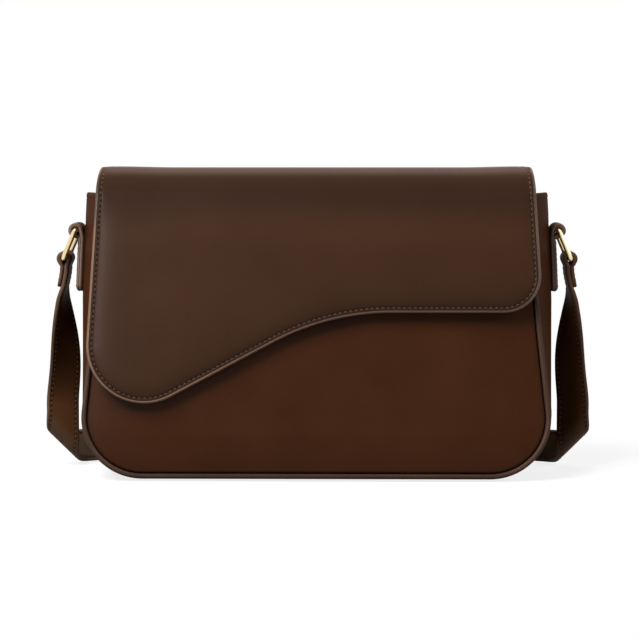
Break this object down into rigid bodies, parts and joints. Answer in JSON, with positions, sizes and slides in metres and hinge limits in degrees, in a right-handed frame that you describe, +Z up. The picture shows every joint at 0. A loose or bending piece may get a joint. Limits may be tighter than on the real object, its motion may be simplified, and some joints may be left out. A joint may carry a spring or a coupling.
{
  "type": "baguette bag",
  "caption": "Small leather shoulder bag with an S-edged flap over the mouth, a magnetic snap, and a flat strap hung from a ring on each side.",
  "frame": {"origin": "middle of the flat base that the bag stands on", "axes": "+X to the right as seen from the front, -Y out of the front, +Z up"},
  "size_m": [0.2936, 0.1147, 0.1621],
  "materials": {
    "leather": "smooth grained leather, satin",
    "leather_edge": "rolled and painted edge, satin",
    "flap_lining": "split leather, matt",
    "lining": "woven twill, matt",
    "board": "pressed fibre board",
    "gold": "polished pale gold plating"
  },
  "bodies": {
    "bag_body": {"front_panel": "leather", "back_panel": "leather", "gusset": "leather", "front_piping": "leather_edge", "back_piping": "leather_edge", "front_board": "board", "back_board": "board", "base_board": "board", "front_lining": "lining", "back_lining": "lining", "gusset_lining": "lining", "slip_pocket": "lining", "flap_anchor": "leather", "snap_socket": "gold", "socket_washer": "gold", "left_tab": "leather", "right_tab": "leather"},
    "flap_bridge": {"flap_rear_bend": "leather", "flap_bridge": "leather", "flap_front_bend": "leather"},
    "flap_front": {"flap_leather": "leather", "flap_board": "board", "flap_lining": "flap_lining", "snap_stud": "gold", "stud_washer": "gold"},
    "left_ring": {"left_ring": "gold"},
    "right_ring": {"right_ring": "gold"},
    "strap": {"shoulder_strap": "leather"}
  },
  "joints": [
    {"name": "flap_throw", "type": "hinge", "parent": "bag_body", "child": "flap_bridge", "pos_m": [0, 0.03247, 0.15657], "axis": [-1, 0, 0], "range_deg": [0, 125], "deforming": ["flap_rear_bend"]},
    {"name": "flap_lift", "type": "hinge", "parent": "flap_bridge", "child": "flap_front", "pos_m": [0, -0.03537, 0.15657], "axis": [-1, 0, 0], "range_deg": [0, 80], "deforming": ["flap_front_bend"]},
    {"name": "left_ring_swing", "type": "hinge", "parent": "bag_body", "child": "left_ring", "pos_m": [-0.12664, 0, 0.1287], "axis": [0, 1, 0], "range_deg": [-4, 4]},
    {"name": "right_ring_swing", "type": "hinge", "parent": "bag_body", "child": "right_ring", "pos_m": [0.12664, 0, 0.1287], "axis": [0, 1, 0], "range_deg": [-4, 4]},
    {"name": "strap_pivot", "type": "hinge", "parent": "left_ring", "child": "strap", "pos_m": [-0.13293, 0, 0.11388], "axis": [0, 1, 0], "range_deg": [-4, 4]}
  ],
  "couplings": [
    {"joint": "right_ring_swing", "follows": "left_ring_swing", "ratio": 1},
    {"joint": "strap_pivot", "follows": "left_ring_swing", "ratio": -0.9527}
  ]
}
